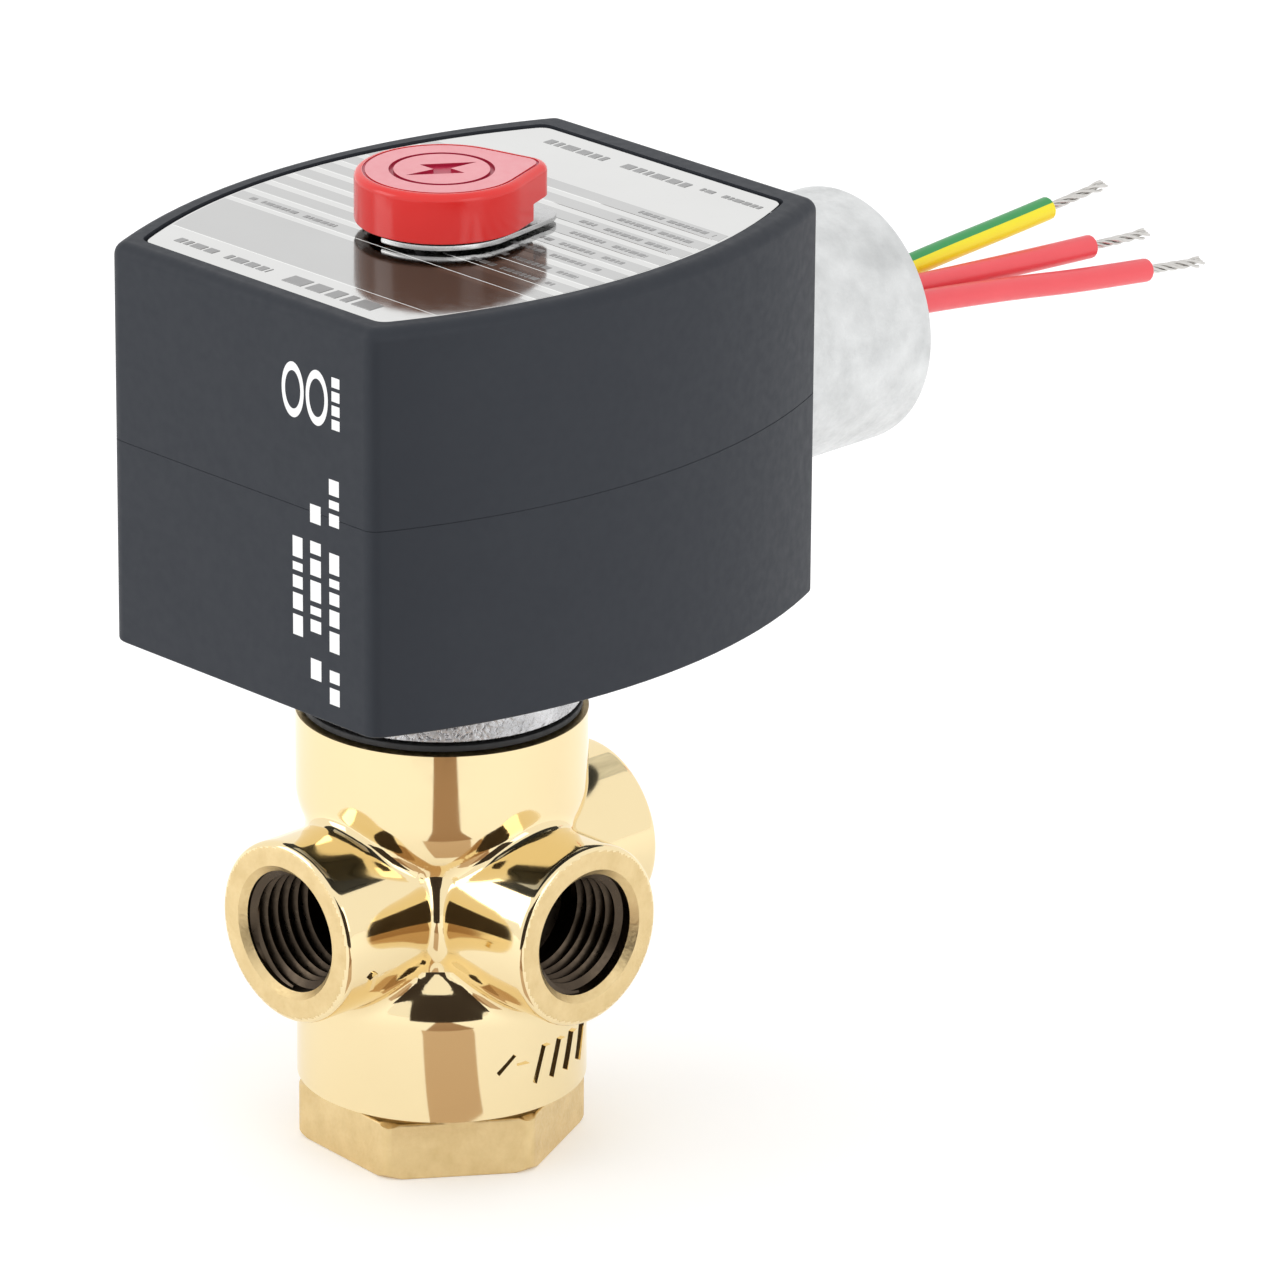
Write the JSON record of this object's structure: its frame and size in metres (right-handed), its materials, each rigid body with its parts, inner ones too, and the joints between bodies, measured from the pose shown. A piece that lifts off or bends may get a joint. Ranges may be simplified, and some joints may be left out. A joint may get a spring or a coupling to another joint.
{
  "type": "solenoid valve",
  "caption": "Three-way direct-acting solenoid valve: brass body with threaded side ports and hexagon end cap, moulded coil housing, conduit hub, flying leads and push-fit cap.",
  "frame": {"origin": "middle of the end cap's flat underside, on the valve's axis", "axes": "+Z along the valve's axis towards the coil and cap; +Y the way the conduit hub points; +X the way the side port faces"},
  "size_m": [0.054, 0.1422, 0.1077],
  "materials": {
    "brass": "polished",
    "stainless": "machined",
    "zinc": "zinc plated",
    "copper": "enamelled copper",
    "moulding": "moulded",
    "red_plastic": "moulded, slightly clear",
    "label": "satin",
    "black_rubber": "matt",
    "nylon": "moulded",
    "tape": "film",
    "green_yellow": "extruded",
    "red_wire": "extruded",
    "tinned": "tinned"
  },
  "bodies": {
    "valve": {"valve_body": "brass", "end_cap": "brass", "end_cap_gasket": "black_rubber", "disc_spring": "stainless", "body_gasket": "black_rubber", "bonnet": "stainless", "core_guide": "nylon", "core_tube": "stainless", "plug_nut": "stainless", "shading_ring": "copper", "spring_washer": "stainless"},
    "solenoid": {"housing": "moulding", "housing_base": "moulding", "yoke_plate": "zinc", "yoke_strap": "zinc", "bobbin": "nylon", "winding": "copper", "winding_tape": "tape", "lower_sleeve": "zinc", "upper_sleeve": "zinc", "ground_terminal": "brass", "ground_screw": "zinc", "conduit_hub": "zinc", "lead_seal": "black_rubber", "tail_ground": "green_yellow", "tail_coil_1": "red_wire", "tail_coil_2": "red_wire", "lead_ground": "green_yellow", "lead_coil_1": "red_wire", "lead_coil_2": "red_wire", "strands_ground": "tinned", "strands_coil_1": "tinned", "strands_coil_2": "tinned", "nameplate": "label"},
    "plunger": {"core": "stainless", "core_disc": "black_rubber", "core_spring": "stainless"},
    "disc_carrier": {"disc_holder": "brass", "lower_disc": "black_rubber", "push_pin": "stainless"},
    "cap": {"retaining_cap": "red_plastic"},
    "clip": {"retaining_clip": "stainless"}
  },
  "joints": [
    {"name": "coil_swivel", "type": "hinge", "parent": "valve", "child": "solenoid", "pos_m": [0, 0, 0.0576], "axis": [0, 0, 1], "continuous": true},
    {"name": "core_slide", "type": "slide", "parent": "valve", "child": "plunger", "axis": [0, 0, 1], "range_m": [0, 0.0012], "stiffness_N_per_m": 400, "springref_m": -0.006, "deforming": ["core_spring"]},
    {"name": "disc_slide", "type": "slide", "parent": "valve", "child": "disc_carrier", "axis": [0, 0, 1], "range_m": [0, 0.0012], "deforming": ["disc_spring"]},
    {"name": "cap_lift", "type": "slide", "parent": "valve", "child": "cap", "axis": [0, 0, 1], "range_m": [0, 0.012]},
    {"name": "clip_slide", "type": "slide", "parent": "valve", "child": "clip", "axis": [0.4695, 0.8829, 0], "range_m": [0, 0.014]}
  ],
  "couplings": [
    {"joint": "disc_slide", "follows": "core_slide", "ratio": 1}
  ]
}
